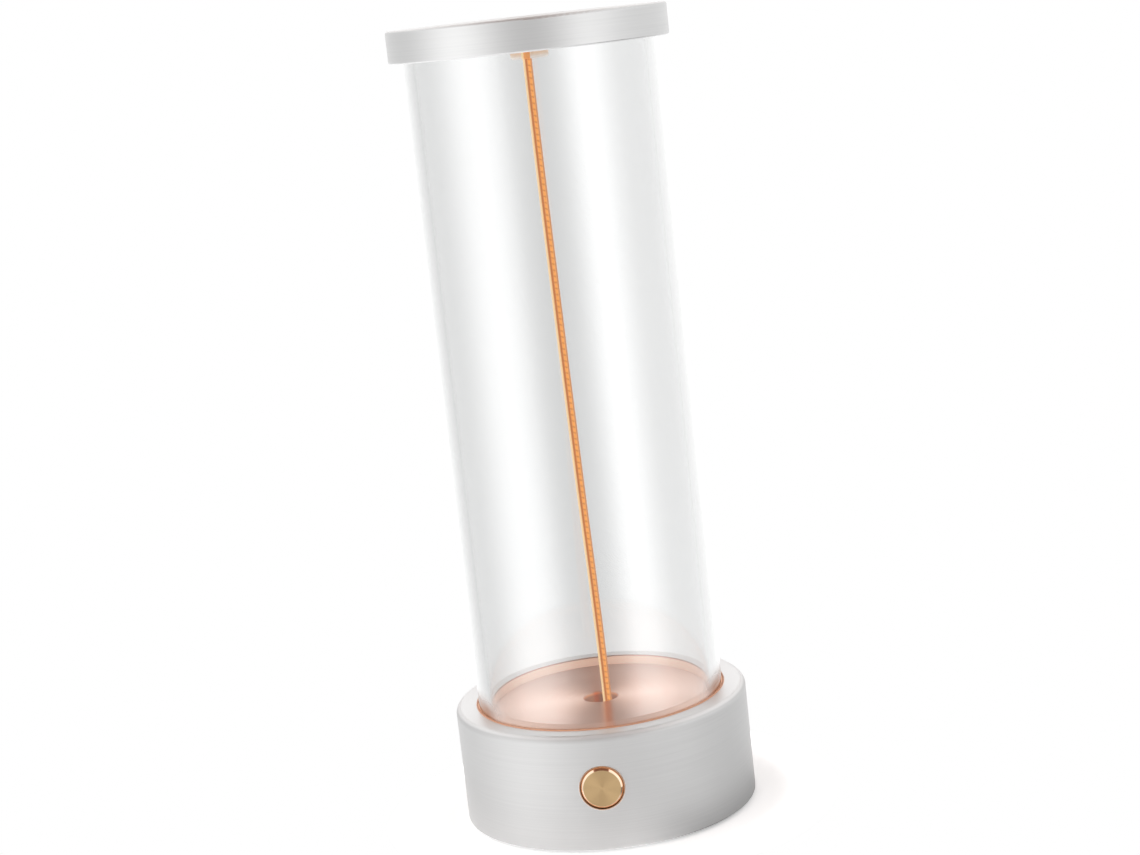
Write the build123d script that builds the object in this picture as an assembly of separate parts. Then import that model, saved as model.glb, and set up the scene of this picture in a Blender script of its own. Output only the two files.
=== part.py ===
"""Rechargeable night light: a clear glass tube with one hanging light filament,
between a turned metal base with a push button and a turned metal cap.

Millimetres, +Z up, origin on the floor on the tube's axis, button facing -Y."""

import math
import os

from build123d import *

# Whole lamp
overall_height = 270.0
tube_radius = 42.0
tube_wall = 4.0
rim_width = 8.0
cap_overhang = 4.2
cap_height = 10.5

# Stack of the base, from the floor up
foot_pad_thickness = 1.6
cover_thickness = 2.0
cell_pad_thickness = 1.7
cell_radius = 9.15
cell_length = 65.0
cell_headroom = 4.85
carrier_thickness = 2.0
ceiling_thickness = 4.0
tube_seat_depth = 5.5

# Clearances
seat_gap = 0.05
edge_tolerance = 0.005
tube_fit = 0.25
cell_fit = 0.25
cover_gap = 0.3
deck_gap = 0.3
cut_overrun = 1.0

# Base housing
housing_lift = 1.0
side_wall = 3.5
rim_fillet = 2.2
foot_edge_fillet = 0.6
cover_boss_radius = 3.6
cover_boss_inset = 4.5
cover_boss_web = 2.4
wall_bite = 0.5
button_pad_depth = 6.5
button_pad_margin = 3.0
filament_hole_radius = 5.2

# Cover, foot and their screws
cover_screw_radius = 1.5
cover_screw_length = 9.4
cover_head_radius = 2.8
cover_head_height = 1.5
cover_pilot_spare = 1.0
cover_screw_angles = (45.0, 135.0, 225.0, 315.0)
socket_radius = 1.0
socket_depth = 1.1
foot_pad_outer_inset = 1.2
foot_pad_width = 12.0
foot_pad_fillet = 0.4

# Deck inside the tube's foot
deck_drop = 1.9
deck_sheet = 1.2
deck_edge_fillet = 0.35
dish_radius = 6.1
dish_foot_radius = 4.4
dish_wall = 1.0

# Glass tube, its seals and the copper sleeve round its foot
tube_end_fillet = 0.4
seat_sleeve_wall = 0.6
seat_sleeve_proud = 0.3
seat_sleeve_fillet = 0.2
seal_thickness = 1.0

# Cap
cap_seat_depth = 4.0
cap_top_fillet = 0.9
cap_foot_fillet = 0.6

# Anchor under the cap
anchor_radius = 6.25
anchor_drop = 3.0
anchor_chamfer = 0.6
anchor_spigot_radius = 3.9
anchor_spigot_length = 4.5
anchor_ferrule_low = 1.0
ferrule_wall = 0.6
upper_ferrule_length = 5.5
set_screw_radius = 0.8
set_screw_shy = 0.2

# Filament
filament_radius = 1.5
filament_foot_x = 2.2
filament_top_x = -0.9
filament_end_gap = 0.5
filament_bow_shares = [
    (0.0, 0.000),
    (0.0, 0.059),
    (0.113, 0.171),
    (0.435, 0.367),
    (0.694, 0.584),
    (0.903, 0.787),
    (1.0, 0.918),
    (1.0, 1.000),
]

# Filament board under the ceiling
filament_board_radius = 10.0
filament_board_thickness = 1.2
filament_board_screw_pitch = 14.6
lower_ferrule_length = 3.5
filament_plug_x = -4.4
filament_plug_size = (5.6, 3.6, 3.4)
plug_pin_pitch = 1.8

# Small screws, used on the boards and the carrier
small_screw_radius = 1.0
small_head_radius = 1.8
small_head_height = 1.2
small_screw_bite = 2.6
board_screw_bite = 4.4
slot_width = 0.5
slot_depth = 0.5

# Carrier
carrier_gap = 0.6
carrier_wall_gap = 1.5
carrier_window_margin = 1.0
saddle_wall = 2.0
saddle_thickness = 3.0
saddle_inset = 10.5
post_radius = 2.2
post_side_inset = 4.5
post_inset = 7.0
carrier_screw_inset = 2.0
carrier_screw_angles = (12.0, 90.0, 168.0)

# Cell
cell_edge_fillet = 1.2
cell_tab_size = (0.3, 7.0, 9.0)
cell_pad_size = (12.0, 10.0)
cell_pad_inset = 14.5

# Main board
board_thickness = 1.6
board_width = 43.0
board_depth = 22.4
board_lift = 4.4
board_wall_gap = 0.6
cell_board_gap = 3.0
socket_block_size = (5.6, 4.4, 5.6)
socket_post_gap = 1.5
socket_block_inset = 0.5
chip_sizes = {
    "coil": (6.0, 6.0, 3.2),
    "charger": (4.0, 4.0, 0.9),
    "controller": (5.0, 4.4, 1.5),
    "capacitor": (3.2, 1.6, 1.4),
    "charge_light": (1.6, 0.8, 0.8),
}
chip_place_shares = {
    "coil": (-0.24, 0.55),
    "charger": (0.03, 0.45),
    "controller": (0.05, 0.70),
    "capacitor": (-0.09, 0.45),
}

# Charging socket and charge light
usb_width = 8.9
usb_height = 3.2
usb_length = 7.3
usb_wall = 0.3
usb_tongue_size = (6.7, 0.7)
usb_tongue_shy = 1.2
usb_back_wall = 1.0
usb_recess = 0.5
usb_slot_fit = 0.25
light_guide_radius = 0.95
light_guide_x = 9.5
light_guide_reach = 2.0

# Push button
button_drop = 17.6
button_travel = 0.6
button_radius = 7.0
button_chamfer = 0.85
button_thickness = 2.4
button_proud = 0.6
button_side_gap = 0.2
bezel_wall = 0.3
bezel_proud = 0.1
bezel_depth = 3.6
stem_radius = 2.0
stem_running_fit = 0.05
stem_length = 11.2
bush_radius = 4.05
bush_flange_margin = 0.4
bush_flange_thickness = 0.8
bush_length = 6.0
bush_nut_flats = 10.0
bush_nut_thickness = 2.4
spring_outer_radius = 3.0
spring_inner_radius = 2.3
spring_pocket_fit = 0.2
spring_length = 4.4
clip_thickness = 0.6
clip_radius = 3.6
clip_groove_depth = 0.5

# Switch behind the button
switch_size = (6.0, 6.0, 3.5)
plunger_radius = 1.75
plunger_fit = 0.1
plunger_out = 1.0
plunger_in = 0.6
plunger_end_gap = 0.1
switch_board_size = (26.0, 13.0)
switch_tab_width = 16.0
switch_tab_thickness = 2.0
switch_screw_pitch = 12.0
switch_lead_x = -10.5

# Leads
lead_radius = 0.5
lead_skin_gap = 0.02

# Radii worked out from the driving sizes
base_radius = tube_radius + rim_width
cap_radius = tube_radius + cap_overhang
tube_bore = tube_radius - tube_wall
tube_seat_radius = tube_radius + tube_fit
seat_sleeve_radius = tube_seat_radius + seat_sleeve_wall
housing_bore = base_radius - side_wall
cover_radius = housing_bore - cover_gap
cover_screw_ring = housing_bore - cover_boss_inset
carrier_screw_ring = cell_length / 2 - carrier_screw_inset
deck_radius = tube_bore - deck_gap
bezel_inner_radius = button_radius + button_side_gap
bezel_outer_radius = bezel_inner_radius + bezel_wall
upper_ferrule_radius = filament_radius + seat_gap + ferrule_wall

# Heights worked out from the stack
cover_top_z = foot_pad_thickness + cover_thickness
cell_z = cover_top_z + cell_pad_thickness + seat_gap + cell_radius
carrier_low_z = cell_z + cell_radius + cell_headroom
ceiling_z = carrier_low_z + carrier_thickness
tube_seat_z = ceiling_z + ceiling_thickness
rim_z = tube_seat_z + tube_seat_depth
deck_top_z = rim_z - deck_drop
cap_low_z = overall_height - cap_height
cap_seat_z = cap_low_z + cap_seat_depth
tube_low_z = tube_seat_z + seal_thickness
tube_top_z = cap_seat_z - seal_thickness
anchor_low_z = cap_low_z - anchor_drop
upper_ferrule_low_z = anchor_low_z + anchor_ferrule_low
upper_ferrule_top_z = upper_ferrule_low_z + upper_ferrule_length
button_z = rim_z - button_drop
board_low_z = cover_top_z + board_lift
board_top_z = board_low_z + board_thickness
usb_z = board_top_z + usb_height / 2
filament_board_low_z = ceiling_z - filament_board_thickness

# Places along the button's axis, front to back
front_y = -base_radius
button_face_y = front_y - button_proud
button_back_y = button_face_y + button_thickness
bush_seat_y = front_y + bezel_depth
bush_flange_y = bush_seat_y - bush_flange_thickness
bush_end_y = bush_seat_y + bush_length
spring_end_y = button_back_y + spring_length
pad_inner_y = front_y + button_pad_depth
stem_end_y = button_back_y + stem_length
switch_front_y = stem_end_y + plunger_out
switch_back_y = switch_front_y + switch_size[2]
tab_front_y = switch_back_y + board_thickness
tab_back_y = tab_front_y + switch_tab_thickness

# Places on the main board
board_back_y = housing_bore - board_wall_gap
board_front_y = board_back_y - board_depth
cell_y = board_front_y - cell_board_gap - cell_radius
post_x = board_width / 2 - post_side_inset
socket_block_pitch = post_x - post_radius - socket_post_gap - socket_block_size[0] / 2


def rod(radius, low_z, high_z, x=0, y=0):
    """Round bar standing between two heights."""
    middle = (low_z + high_z) / 2
    return Pos(x, y, middle) * Cylinder(radius, high_z - low_z)


def ring(outer, inner, low_z, high_z, x=0, y=0):
    """Round bar with a bore through it."""
    bore = rod(inner, low_z - cut_overrun, high_z + cut_overrun, x, y)
    return rod(outer, low_z, high_z, x, y) - bore


def bar(radius, front, back, x=0, z=0):
    """Round bar lying along Y between two depths."""
    middle = (front + back) / 2
    return Pos(x, middle, z) * Rot(90, 0, 0) * Cylinder(radius, back - front)


def sleeve(outer, inner, front, back, x=0, z=0):
    """Bar along Y with a bore through it."""
    bore = bar(inner, front - cut_overrun, back + cut_overrun, x, z)
    return bar(outer, front, back, x, z) - bore


def block(size_x, size_y, size_z, x=0, y=0, low_z=0):
    """Box centred on x and y, standing on low_z."""
    return Pos(x, y, low_z + size_z / 2) * Box(size_x, size_y, size_z)


def slab(size_x, size_z, front, back, x=0, z=0):
    """Box centred on x and z, between two depths."""
    return Pos(x, (front + back) / 2, z) * Box(size_x, back - front, size_z)


def edges_at(shape, height, radius):
    """The round edges of a shape at one height and of one radius."""
    circles = shape.edges().filter_by(GeomType.CIRCLE)
    return [
        e
        for e in circles
        if math.isclose(e.center().Z, height, abs_tol=edge_tolerance)
        and math.isclose(e.radius, radius, abs_tol=edge_tolerance)
    ]


def on_ring(radius, angles):
    """Points on a circle about the lamp's axis, at angles in degrees."""
    return [
        (radius * math.cos(math.radians(a)), radius * math.sin(math.radians(a)))
        for a in angles
    ]


def small_screw(bite, x, y, head_z):
    """Slotted pan screw pointing up, its head's seat at head_z."""
    head = rod(small_head_radius, head_z - small_head_height, head_z, x, y)
    shank = rod(small_screw_radius, head_z, head_z + bite, x, y)
    slot = block(
        small_head_radius * 3, slot_width, slot_depth * 2,
        x, y, head_z - small_head_height - slot_depth,
    )
    return head + shank - slot


cover_screw_places = on_ring(cover_screw_ring, cover_screw_angles)
carrier_screw_places = on_ring(carrier_screw_ring, carrier_screw_angles)
filament_screw_places = [(0, s * filament_board_screw_pitch / 2) for s in (-1, 1)]
post_places = [(s * post_x, board_front_y + post_inset) for s in (-1, 1)]
switch_screw_places = [s * switch_screw_pitch / 2 for s in (-1, 1)]
socket_block_places = [s * socket_block_pitch for s in (-1, 0, 1)]
socket_block_y = board_front_y + socket_block_inset + socket_block_size[1] / 2
socket_block_top_z = board_top_z + socket_block_size[2]


def boss_web(width, low_z, high_z, x, y):
    """Upright rib from a cover boss out into the base's wall."""
    reach = cover_boss_inset + wall_bite
    rib = Pos(cover_screw_ring + reach / 2, 0, (low_z + high_z) / 2)
    rib *= Box(reach, width, high_z - low_z)
    return Rot(0, 0, math.degrees(math.atan2(y, x))) * rib


def base_housing():
    """Turned cup, open below: side wall, ceiling, tube seat and bosses."""
    cup = rod(base_radius, housing_lift, rim_z)
    cup = fillet(edges_at(cup, rim_z, base_radius), rim_fillet)
    cup = fillet(edges_at(cup, housing_lift, base_radius), foot_edge_fillet)
    cup -= rod(housing_bore, housing_lift - cut_overrun, ceiling_z)
    cup -= rod(seat_sleeve_radius + seat_gap, tube_seat_z, rim_z + cut_overrun)
    cup -= rod(filament_hole_radius, ceiling_z - cut_overrun, rim_z)
    for x, y in cover_screw_places:
        cup += rod(cover_boss_radius, cover_top_z, ceiling_z, x, y)
        cup += boss_web(cover_boss_web, cover_top_z, ceiling_z, x, y)
        pilot_top = foot_pad_thickness + cover_screw_length + cover_pilot_spare
        cup -= rod(cover_screw_radius + seat_gap, cover_top_z - cut_overrun, pilot_top, x, y)
    button_pad_radius = bezel_outer_radius + button_pad_margin
    pad = bar(button_pad_radius, front_y + side_wall / 2, pad_inner_y, 0, button_z)
    cup += pad & rod(housing_bore + side_wall / 2, cover_top_z, tube_seat_z)
    cup -= bar(bezel_outer_radius + seat_gap, front_y - cut_overrun, bush_seat_y, 0, button_z)
    cup -= bar(bush_radius + seat_gap, front_y, pad_inner_y + cut_overrun, 0, button_z)
    slot = rounded_bar(usb_width + usb_slot_fit * 2, usb_height + usb_slot_fit * 2,
                       housing_bore - wall_bite * 2, base_radius + cut_overrun)
    cup -= slot
    cup -= bar(light_guide_radius + seat_gap, housing_bore - light_guide_reach,
               base_radius + cut_overrun, light_guide_x, usb_z)
    for x, y in carrier_screw_places:
        cup -= rod(small_screw_radius + seat_gap, ceiling_z, ceiling_z + small_screw_bite, x, y)
    for x, y in filament_screw_places:
        cup -= rod(small_screw_radius + seat_gap, ceiling_z, ceiling_z + small_screw_bite, x, y)
    return cup


def rounded_bar(width, height, front, back):
    """Bar along Y with fully rounded sides, at the charging socket's place."""
    outline = SlotOverall(width, height)
    plane = Plane(origin=(0, back, usb_z), x_dir=(1, 0, 0), z_dir=(0, -1, 0))
    return extrude(plane * outline, back - front)


def bottom_cover():
    """Flat disc with countersunk holes over the base's bosses."""
    disc = rod(cover_radius, foot_pad_thickness, cover_top_z)
    for x, y in cover_screw_places:
        disc -= rod(cover_screw_radius + seat_gap, housing_lift, cover_top_z + cut_overrun, x, y)
        disc -= countersink(cover_head_radius + seat_gap, cover_screw_radius + seat_gap, x, y)
    return disc


def countersink(wide, narrow, x, y):
    """Cone of a countersunk head, its wide end flush with the cover."""
    middle = foot_pad_thickness + cover_head_height / 2
    return Pos(x, y, middle) * Cone(wide, narrow, cover_head_height)


def cover_screws():
    """Countersunk screws with round drive sockets."""
    made = []
    for x, y in cover_screw_places:
        top = foot_pad_thickness + cover_screw_length
        screw = countersink(cover_head_radius, cover_screw_radius, x, y)
        screw += rod(cover_screw_radius, foot_pad_thickness + cover_head_height, top, x, y)
        screw -= rod(socket_radius, 0, foot_pad_thickness + socket_depth, x, y)
        made.append(screw)
    return made


def foot_pad():
    """Soft ring that the lamp stands on, over the cover's screws."""
    outer = cover_radius - foot_pad_outer_inset
    pad = ring(outer, outer - foot_pad_width, 0, foot_pad_thickness)
    return fillet(edges_at(pad, 0, outer), foot_pad_fillet)


def deck_plate():
    """Shallow inverted cup inside the tube, dished in round the filament."""
    with BuildPart() as deck:
        with BuildSketch(Plane.XZ):
            Polygon(
                (dish_radius, deck_top_z),
                (deck_radius, deck_top_z),
                (deck_radius, tube_seat_z),
                (deck_radius - deck_sheet, tube_seat_z),
                (deck_radius - deck_sheet, deck_top_z - deck_sheet),
                (dish_radius + dish_wall, deck_top_z - deck_sheet),
                (dish_foot_radius + dish_wall, tube_seat_z),
                (dish_foot_radius, tube_seat_z),
                align=None,
            )
        revolve(axis=Axis.Z)
    plate = deck.part
    rims = edges_at(plate, deck_top_z, deck_radius) + edges_at(plate, deck_top_z, dish_radius)
    return fillet(rims, deck_edge_fillet)


def glass_tube():
    """Clear tube with melted, rounded ends."""
    tube = ring(tube_radius, tube_bore, tube_low_z, tube_top_z)
    ends = []
    for height in (tube_low_z, tube_top_z):
        for radius in (tube_radius, tube_bore):
            ends += edges_at(tube, height, radius)
    return fillet(ends, tube_end_fillet)


def seat_sleeve():
    """Thin sleeve pressed into the base's seat; it shows as a fine copper line round the tube."""
    sleeve_top_z = rim_z + seat_sleeve_proud
    sleeve = ring(seat_sleeve_radius, tube_seat_radius, tube_seat_z, sleeve_top_z)
    lips = edges_at(sleeve, sleeve_top_z, seat_sleeve_radius)
    lips += edges_at(sleeve, sleeve_top_z, tube_seat_radius)
    return fillet(lips, seat_sleeve_fillet)


def tube_seal(low_z):
    """Flat soft ring between the tube's end and the bottom of its seat."""
    return ring(tube_radius, tube_bore, low_z, low_z + seal_thickness)


def top_cap():
    """Turned disc with a ring groove for the tube and a blind hole for the anchor."""
    disc = rod(cap_radius, cap_low_z, overall_height)
    disc = fillet(edges_at(disc, overall_height, cap_radius), cap_top_fillet)
    disc = fillet(edges_at(disc, cap_low_z, cap_radius), cap_foot_fillet)
    disc -= ring(tube_seat_radius, tube_bore - tube_fit, cap_low_z - cut_overrun, cap_seat_z)
    hole_top = cap_low_z + anchor_spigot_length + seat_gap
    disc -= rod(anchor_spigot_radius + seat_gap, cap_low_z - cut_overrun, hole_top)
    return disc


def cap_anchor():
    """Turned plug under the cap that holds the filament's upper end."""
    plug = rod(anchor_radius, anchor_low_z, cap_low_z)
    plug = chamfer(edges_at(plug, anchor_low_z, anchor_radius), anchor_chamfer)
    plug += rod(anchor_spigot_radius, cap_low_z, cap_low_z + anchor_spigot_length)
    bore = upper_ferrule_radius + seat_gap
    plug -= rod(bore, anchor_low_z - cut_overrun, upper_ferrule_top_z, filament_top_x)
    hole_z = (anchor_low_z + cap_low_z) / 2
    hole = Pos(anchor_radius / 2, 0, hole_z) * Rot(0, 90, 0)
    hole *= Cylinder(set_screw_radius + seat_gap, anchor_radius)
    return plug - hole


def anchor_set_screw():
    """Grub screw that clamps the upper ferrule from the side."""
    start = filament_top_x + upper_ferrule_radius + lead_skin_gap
    end = anchor_radius - set_screw_shy
    screw = Pos((start + end) / 2, 0, (anchor_low_z + cap_low_z) / 2) * Rot(0, 90, 0)
    return screw * Cylinder(set_screw_radius, end - start)


def upper_ferrule():
    """Crimp sleeve on the filament's upper end."""
    bore = filament_radius + seat_gap
    return ring(upper_ferrule_radius, bore, upper_ferrule_low_z, upper_ferrule_top_z, filament_top_x)


def lower_ferrule():
    """Soldered sleeve that stands the filament on its board."""
    bore = filament_radius + seat_gap
    top = ceiling_z + lower_ferrule_length
    return ring(bore + ferrule_wall, bore, ceiling_z, top, filament_foot_x)


def swept_tube(points, radius, name):
    """Tube along straight runs joined by tangent arcs as large as the runs allow."""
    corners = [Vector(*p) for p in points]
    radii = []
    for before, at, after in zip(corners, corners[1:], corners[2:]):
        first, second = at - before, after - at
        half_turn = math.radians(first.get_angle(second)) / 2
        radii.append(0.45 * min(first.length, second.length) / math.tan(half_turn))
    path = FilletPolyline(*corners, radius=radii)
    start = Plane(origin=path @ 0, z_dir=path % 0)
    tube = sweep(start * Circle(radius), path=path)
    expected = math.pi * radius**2 * path.length
    print(f"{name}: radii {[round(r, 1) for r in radii]}, length {path.length:.1f},"
          f" volume over section times length {tube.volume / expected:.4f}")
    return tube


def filament():
    """Flexible light filament, bowed a little sideways between its two ferrules."""
    low_z = ceiling_z + filament_end_gap
    span_z = upper_ferrule_top_z - filament_end_gap - low_z
    span_x = filament_top_x - filament_foot_x
    points = [
        (filament_foot_x + x_share * span_x, 0, low_z + z_share * span_z)
        for x_share, z_share in filament_bow_shares
    ]
    return swept_tube(points, filament_radius, "filament")


def filament_board():
    """Small round board under the ceiling that feeds the filament."""
    board = rod(filament_board_radius, filament_board_low_z, ceiling_z)
    for x, y in filament_screw_places:
        board -= rod(small_screw_radius + seat_gap, filament_board_low_z - cut_overrun,
                     ceiling_z + cut_overrun, x, y)
    return board


def filament_board_screws():
    """Two screws through the round board into the ceiling."""
    bite = filament_board_thickness + small_screw_bite - seat_gap
    return [small_screw(bite, x, y, filament_board_low_z) for x, y in filament_screw_places]


def filament_plug():
    """Lead socket on the underside of the round board."""
    width, depth, height = filament_plug_size
    return block(width, depth, height, filament_plug_x, 0, filament_board_low_z - height)


def carrier():
    """Moulded frame under the ceiling that holds the cell and both boards."""
    radius = housing_bore - carrier_wall_gap
    plate = rod(radius, carrier_low_z, ceiling_z)
    plate -= slab(radius * 2, radius * 2, -radius * 2, tab_front_y, 0, ceiling_z)
    for x, y in cover_screw_places:
        plate -= rod(cover_boss_radius + carrier_gap, carrier_low_z - cut_overrun,
                     ceiling_z + cut_overrun, x, y)
        plate -= boss_web(cover_boss_web + carrier_gap * 2, carrier_low_z - cut_overrun,
                          ceiling_z + cut_overrun, x, y)
    window = filament_board_radius + carrier_window_margin
    plate -= rod(window, carrier_low_z - cut_overrun, ceiling_z + cut_overrun)
    saddle_depth = (cell_radius + cell_fit + saddle_wall) * 2
    for side in (-1, 1):
        x = side * (cell_length / 2 - saddle_inset)
        plate += block(saddle_thickness, saddle_depth, carrier_low_z - cell_z, x, cell_y, cell_z)
    groove = Pos(0, cell_y, cell_z) * Rot(0, 90, 0) * Cylinder(cell_radius + cell_fit, cell_length)
    plate -= groove
    tab_low_z = button_z - switch_board_size[1] / 2
    tab = slab(switch_tab_width, carrier_low_z - tab_low_z, tab_front_y, tab_back_y,
               0, (tab_low_z + carrier_low_z) / 2)
    plate += tab
    for x in switch_screw_places:
        plate -= bar(small_screw_radius + seat_gap, tab_front_y - cut_overrun,
                     tab_back_y + cut_overrun, x, button_z)
    for x, y in post_places:
        plate += rod(post_radius, board_top_z, carrier_low_z, x, y)
        plate -= rod(small_screw_radius + seat_gap, board_top_z - cut_overrun,
                     board_top_z + board_screw_bite, x, y)
    for x, y in carrier_screw_places:
        plate -= rod(small_screw_radius + seat_gap, carrier_low_z - cut_overrun,
                     ceiling_z + cut_overrun, x, y)
    return plate


def carrier_screws():
    """Screws through the carrier's plate into the ceiling."""
    bite = carrier_thickness + small_screw_bite - seat_gap
    return [small_screw(bite, x, y, carrier_low_z) for x, y in carrier_screw_places]


def cell():
    """Round lithium cell lying across the base."""
    can = Cylinder(cell_radius, cell_length)
    can = fillet(can.edges().filter_by(GeomType.CIRCLE), cell_edge_fillet)
    return Pos(0, cell_y, cell_z) * Rot(0, 90, 0) * can


def cell_tabs():
    """Welded strips on both ends of the cell."""
    thickness, width, height = cell_tab_size
    x = (cell_length + thickness) / 2
    return [block(thickness, width, height, s * x, cell_y, cell_z - height / 2) for s in (-1, 1)]


def cell_pads():
    """Foam blocks between the cell and the cover."""
    width, depth = cell_pad_size
    x = cell_length / 2 - cell_pad_inset
    return [block(width, depth, cell_pad_thickness, s * x, cell_y, cover_top_z) for s in (-1, 1)]


def main_board():
    """Charging and control board, rounded to the base's wall."""
    outline = slab(board_width, board_thickness, board_front_y, board_back_y, 0,
                   (board_low_z + board_top_z) / 2)
    board = outline & rod(board_back_y, board_low_z - cut_overrun, board_top_z + cut_overrun)
    for x, y in post_places:
        board -= rod(small_screw_radius + seat_gap, board_low_z - cut_overrun,
                     board_top_z + cut_overrun, x, y)
    return board


def main_board_screws():
    """Screws through the main board into the carrier's posts."""
    bite = board_thickness + board_screw_bite - seat_gap
    return [small_screw(bite, x, y, board_low_z) for x, y in post_places]


def board_chips():
    """Coil, chips, capacitor and charge light on the main board."""
    made = []
    for name, (x_share, y_share) in chip_place_shares.items():
        x = x_share * board_width
        y = board_front_y + y_share * board_depth
        made.append(block(*chip_sizes[name], x, y, board_top_z))
    guide_end = housing_bore - light_guide_reach
    light = chip_sizes["charge_light"]
    made.append(block(*light, light_guide_x, guide_end - light[1], board_top_z))
    return made


def lead_sockets():
    """Row of lead sockets along the main board's front edge."""
    return [block(*socket_block_size, x, socket_block_y, board_top_z) for x in socket_block_places]


def charging_socket():
    """Rounded metal shell with a tongue, its mouth in the base's wall."""
    back = base_radius - usb_recess
    front = back - usb_length
    shell = rounded_bar(usb_width, usb_height, front, back)
    inner_height = usb_height - usb_wall * 2
    shell -= rounded_bar(usb_width - usb_wall * 2, inner_height,
                         front + usb_back_wall, back + cut_overrun)
    tongue_width, tongue_height = usb_tongue_size
    return shell + slab(tongue_width, tongue_height, front + usb_back_wall / 2,
                        back - usb_tongue_shy, 0, usb_z)


def charge_light_guide():
    """Clear pin that leads the charge light out through the base's wall."""
    face = math.sqrt(base_radius**2 - light_guide_x**2)
    return bar(light_guide_radius, housing_bore - light_guide_reach, face, light_guide_x, usb_z)


def button_cap():
    """Turned button with a bevelled face and a grooved stem."""
    disc = bar(button_radius, button_face_y, button_back_y, 0, button_z)
    face = disc.faces().sort_by(Axis.Y)[0]
    disc = chamfer(face.edges(), button_chamfer)
    disc += bar(stem_radius, button_back_y, stem_end_y, 0, button_z)
    return disc - sleeve(stem_radius + cut_overrun, stem_radius - clip_groove_depth,
                         bush_end_y, bush_end_y + clip_thickness, 0, button_z)


def button_clip():
    """Split retaining ring in the stem's groove, open on its lower side."""
    groove_radius = stem_radius - clip_groove_depth
    clip = sleeve(clip_radius, groove_radius + seat_gap, bush_end_y,
                  bush_end_y + clip_thickness, 0, button_z)
    mouth = slab(groove_radius * 2, clip_radius, bush_end_y - cut_overrun,
                 bush_end_y + clip_thickness + cut_overrun, 0, button_z - clip_radius / 2)
    return clip - mouth


def button_bezel():
    """Thin liner ring round the button, in the base's counterbore."""
    front = front_y - bezel_proud
    return sleeve(bezel_outer_radius, bezel_inner_radius, front, bush_seat_y, 0, button_z)


def button_bush():
    """Flanged guide bush with a pocket for the spring."""
    flange = bar(bezel_inner_radius - bush_flange_margin, bush_flange_y, bush_seat_y, 0, button_z)
    bush = flange + bar(bush_radius, bush_seat_y, bush_end_y, 0, button_z)
    bush -= bar(spring_outer_radius + spring_pocket_fit, bush_flange_y - cut_overrun,
                spring_end_y, 0, button_z)
    return bush - bar(stem_radius + stem_running_fit, bush_flange_y,
                      bush_end_y + cut_overrun, 0, button_z)


def bush_nut():
    """Thin hexagon nut that holds the bush from inside."""
    outline = RegularPolygon(bush_nut_flats / 2, 6, major_radius=False)
    back = pad_inner_y + bush_nut_thickness
    plane = Plane(origin=(0, back, button_z), x_dir=(1, 0, 0), z_dir=(0, -1, 0))
    nut = extrude(plane * outline, bush_nut_thickness)
    return nut - bar(bush_radius + seat_gap, pad_inner_y - cut_overrun,
                     back + cut_overrun, 0, button_z)


def button_spring():
    """Envelope of the return spring between the button and its bush."""
    return sleeve(spring_outer_radius, spring_inner_radius, button_back_y, spring_end_y, 0, button_z)


def switch_body():
    """Square push switch with a round well for its plunger."""
    width, height, _ = switch_size
    body = slab(width, height, switch_front_y, switch_back_y, 0, button_z)
    well_end = switch_front_y + plunger_in + button_travel + plunger_end_gap
    return body - bar(plunger_radius + plunger_fit, switch_front_y - cut_overrun,
                      well_end, 0, button_z)


def switch_plunger():
    """Round plunger that the stem pushes."""
    return bar(plunger_radius, stem_end_y, switch_front_y + plunger_in, 0, button_z)


def switch_board():
    """Upright board behind the button."""
    width, height = switch_board_size
    board = slab(width, height, switch_back_y, tab_front_y, 0, button_z)
    for x in switch_screw_places:
        board -= bar(small_screw_radius + seat_gap, switch_back_y - cut_overrun,
                     tab_front_y + cut_overrun, x, button_z)
    return board


def switch_board_screws():
    """Screws through the upright board into the carrier's tab."""
    made = []
    for x in switch_screw_places:
        head_front = switch_back_y - small_head_height
        screw = bar(small_head_radius, head_front, switch_back_y, x, button_z)
        screw += bar(small_screw_radius, switch_back_y, tab_back_y - seat_gap, x, button_z)
        screw -= slab(small_head_radius * 3, slot_width, head_front - slot_depth,
                      head_front + slot_depth, x, button_z)
        made.append(screw)
    return made


half_pitch = plug_pin_pitch / 2
cell_tab_x = cell_length / 2 + cell_tab_size[0] + lead_radius + lead_skin_gap
cell_socket_x = socket_block_pitch
filament_plug_y = filament_plug_size[1] / 2
filament_lead_z = filament_board_low_z - filament_plug_size[2] / 2

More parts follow.
